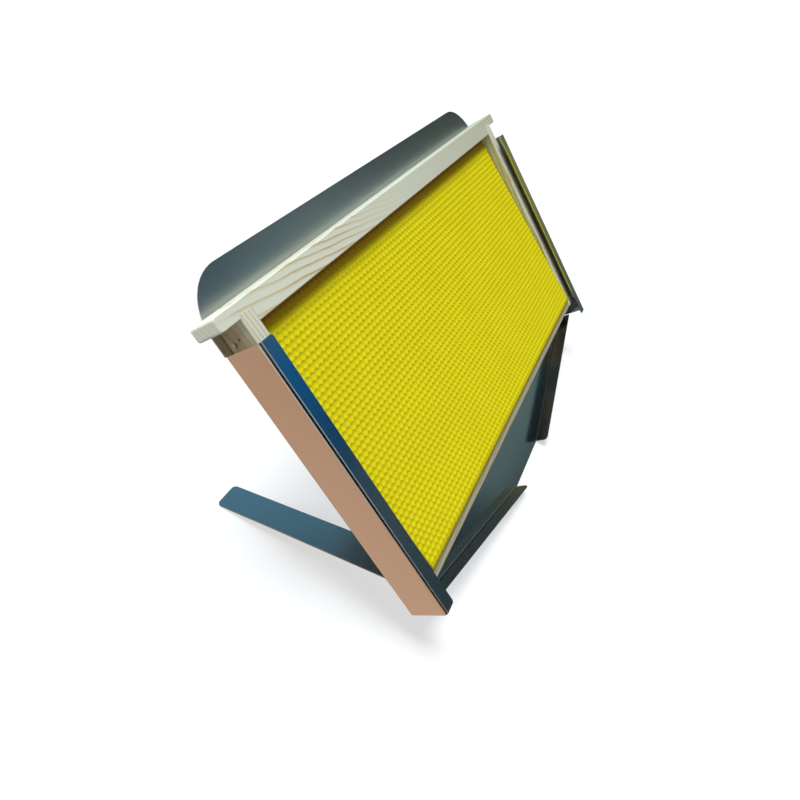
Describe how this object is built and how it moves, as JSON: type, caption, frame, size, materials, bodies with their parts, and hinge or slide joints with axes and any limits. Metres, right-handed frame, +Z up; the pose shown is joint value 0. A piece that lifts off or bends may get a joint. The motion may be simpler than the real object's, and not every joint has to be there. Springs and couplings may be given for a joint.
{
  "type": "honeycomb frame display stand",
  "caption": "Open stand folded from sheet steel that holds a wooden hive frame with comb foundation, leaning back in side channels over a gutter with a spout.",
  "frame": {"origin": "on the ground, below the middle of the whole object's box", "axes": "+X along the top bar to the right as seen from the front, +Y to the back, +Z up"},
  "size_m": [0.482, 0.2458, 0.2217],
  "materials": {
    "stand_steel": "satin stainless sheet, almost mirror-like",
    "frame_wood": "planed pale pine, bare",
    "foundation": "yellow, embossed with hexagonal cell bases",
    "fastener_steel": "bright steel"
  },
  "bodies": {
    "stand": {"folded_case": "stand_steel", "left_leg": "stand_steel", "right_leg": "stand_steel"},
    "comb_frame": {"top_bar": "frame_wood", "left_end_bar": "frame_wood", "right_end_bar": "frame_wood", "bottom_bar": "frame_wood", "foundation_sheet": "foundation", "frame_wire": "fastener_steel", "wire_tacks": "fastener_steel", "top_nails": "fastener_steel", "bottom_nails": "fastener_steel"}
  },
  "joints": [
    {"name": "frame_lift", "type": "slide", "parent": "stand", "child": "comb_frame", "axis": [0, 0.732, 0.6813], "range_m": [0, 0.209]}
  ]
}
